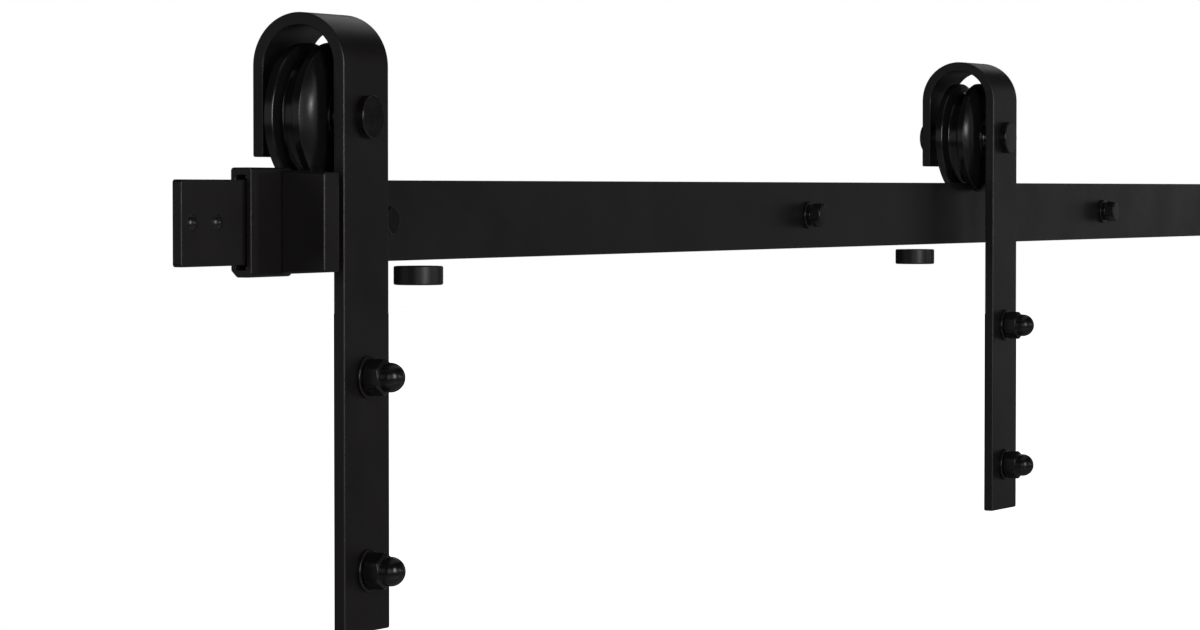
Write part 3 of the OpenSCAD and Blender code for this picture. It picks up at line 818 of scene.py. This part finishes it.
def cap_nuts(side):
    """Hex nut with a domed cap and a blind bore."""
    lo, hi = box_mm(f"{side}_dome_nuts")
    low, high = -hi.y, -lo.y
    ball_w, hex_top = high - DOME_R, low + DOME_HEX
    bore = STUD_R + 0.05
    rows = [ring_row(bore, low + DOME_BORE), ring_row(bore, low + 0.6), ring_row(STUD_R + 0.6, low)]
    rows += head_rows(DOME_AF, low, hex_top, low_cone=True)[:-1]
    rows += [ring_row(DOME_R + 0.32, hex_top), ring_row(DOME_R + 0.1, hex_top + 0.1),
             ring_row(DOME_R, hex_top + 0.35), ring_row(DOME_R, ball_w)]
    for k in range(1, DOME_STEPS):
        a = math.pi / 2 * k / DOME_STEPS
        rows.append(ring_row(DOME_R * math.cos(a), ball_w + DOME_R * math.sin(a)))
    rows.append(ring_row(0.0, high))
    x = axle_of(side)[0]
    bm, flat = fresh()
    for z in stud_heights(side):
        made = turned_hex(bm, along_y(x, z, -1), rows)
        cap(bm, flat, [made[0]])
    piece(f"{side}_cap_nuts", bm, f"{side}_dome_nuts")


def jump_disc(side):
    """Anti-jump disc with rounded rims and a countersunk hole."""
    lo, hi = box_mm(f"{side}_jump_disc")
    put = along_z((lo.x + hi.x) / 2, RAIL_Y)
    disc_r = (hi.x - lo.x) / 2
    levels = [(DISC_EDGE, 0), (DISC_EDGE / 2, 0.1), (0.1, DISC_EDGE / 2), (0, DISC_EDGE)]
    levels = [(i, lo.z + w) for i, w in levels] + [(i, hi.z - w) for i, w in reversed(levels)]
    sink = [(DISC_HOLE_R + 0.2, lo.z), (DISC_HOLE_R, lo.z + 0.2), (DISC_HOLE_R, hi.z - DISC_SINK_H),
            (DISC_SINK_R - 0.1, hi.z)]
    bm, flat = fresh()
    body = loft(bm, [[put(u, v, w) for u, v in circle(0, 0, disc_r - i, 96)] for i, w in levels])
    hole = loft(bm, [[put(u, v, w) for u, v in circle(0, DISC_HOLE_OFF, r, 48)] for r, w in sink])
    cap(bm, flat, [body[0], hole[0]])
    cap(bm, flat, [body[-1], hole[-1]], flip=True)
    piece(f"{side}_guide_disc", bm, f"{side}_jump_disc")


for side in SIDES:
    hanger_strap(side)
    axle_bolt(side)
    axle_nut(side)
    hub_spacers(side)
    wheel(side)
    door_studs(side)
    strap_washers(side)
    cap_nuts(side)
    jump_disc(side)


# ---------------------------------------------------------------- CAD nodes that stay

for name, obj in frame["nodes"].items():
    if not obj.hide_render:
        obj.data.materials.clear()
        obj.data.materials.append(MATERIALS[SLOT_OF[name]])


# ---------------------------------------------------------------- floor, light and camera

scene = bpy.context.scene
scene.view_settings.view_transform = "Standard"

FLOOR_Z, FLOOR_R = -1.3, 40
# the room's own light is dim, so that the softboxes shape the coat; the camera sees a white sheet
ROOM_LIGHT, SHEET_LIGHT = 0.02, 1.0
LENS, SENSOR = 119.25, 36
CAMERA_AT = (-2.4664, -1.0348, 0.0148)
CAMERA_DOWN, CAMERA_TURN = 1.79, -62.758


def pale_floor():
    """A round pale floor that only catches shadows."""
    bm = bmesh.new()
    bmesh.ops.create_circle(bm, cap_ends=True, radius=FLOOR_R, segments=128)
    floor = to_object("floor", bm)
    floor.location.z = FLOOR_Z
    floor.is_shadow_catcher = True
    pale = bpy.data.materials.new("pale_floor")
    pale.use_nodes = True
    shader = pale.node_tree.nodes["Principled BSDF"]
    shader.inputs["Base Color"].default_value = (0.85, 0.85, 0.85, 1)
    shader.inputs["Roughness"].default_value = 0.9
    floor.data.materials.append(pale)
    return floor


def studio_world():
    """Dim white room light, and a white sheet where only the camera looks."""
    world = bpy.data.worlds.new("studio")
    world.use_nodes = True
    nodes, links = world.node_tree.nodes, world.node_tree.links
    nodes.clear()
    out = nodes.new("ShaderNodeOutputWorld")
    mix = nodes.new("ShaderNodeMixShader")
    seen = nodes.new("ShaderNodeLightPath")
    links.new(seen.outputs["Is Camera Ray"], mix.inputs["Fac"])
    for socket, strength in ((1, ROOM_LIGHT), (2, SHEET_LIGHT)):
        background = nodes.new("ShaderNodeBackground")
        background.inputs["Color"].default_value = (1, 1, 1, 1)
        background.inputs["Strength"].default_value = strength
        links.new(background.outputs[0], mix.inputs[socket])
    links.new(mix.outputs[0], out.inputs["Surface"])
    return world


def softbox(name, place, target, width, height, power):
    """A rectangular area light that faces its target."""
    light = bpy.data.lights.new(name, "AREA")
    light.shape = "RECTANGLE"
    light.size, light.size_y = width, height
    light.energy = power
    obj = bpy.data.objects.new(name, light)
    obj.location = place
    obj.rotation_euler = (Vector(target) - Vector(place)).to_track_quat("-Z", "Y").to_euler()
    scene.collection.objects.link(obj)


floor = pale_floor()
scene.world = studio_world()

# edges, domes and discs: the bright glints
softbox("key", (-1.95, -2.35, 0.5), (-0.5, 0, 0), 0.8, 1.2, 20)
softbox("key_wide", (-2.2, -2.6, 0.3), (-0.5, 0, 0), 3.4, 1.4, 7)
softbox("dome_glint", (2.4, -8.46, 1.1), (-0.4, 0, 0.05), 0.9, 0.9, 22)
# faces to the room: rail, strap fronts and blocks
softbox("front", (4.7, -6.2, 0.3), (-0.4, 0, 0.05), 0.75, 0.75, 7)
softbox("front_wide", (0.2, -3.4, 0.4), (0, 0, 0), 2.6, 1.6, 3)
softbox("panel", (3.2, -1.3, 0.3), (-0.3, 0, 0), 0.8, 1.6, 0.45)
softbox("right", (4.2, -0.6, 0.2), (0, -0.1, 0), 1.6, 1.6, 1.6)
# left sides of straps, clamps and wheels
softbox("back_left", (-3.4, 1.9, 0.3), (-0.4, 0, 0), 2.4, 1.6, 3.4)
softbox("left", (-3.6, -1.0, 0.3), (-0.6, 0, 0), 1.2, 1.6, 6)
# upper faces and the arches' shoulders
softbox("top", (0.2, -0.4, 2.3), (0.2, -0.1, 0), 3.5, 1.4, 4)
softbox("shoulder", (2.7, 0.9, 1.6), (-0.3, 0, 0.05), 1.6, 0.8, 3.6)

cam_data = bpy.data.cameras.new("camera")
cam_data.sensor_width = SENSOR
cam_data.lens = LENS
camera = bpy.data.objects.new("camera", cam_data)
camera.location = CAMERA_AT
camera.rotation_euler = (math.radians(90 - CAMERA_DOWN), 0, math.radians(CAMERA_TURN))
scene.collection.objects.link(camera)
scene.camera = camera
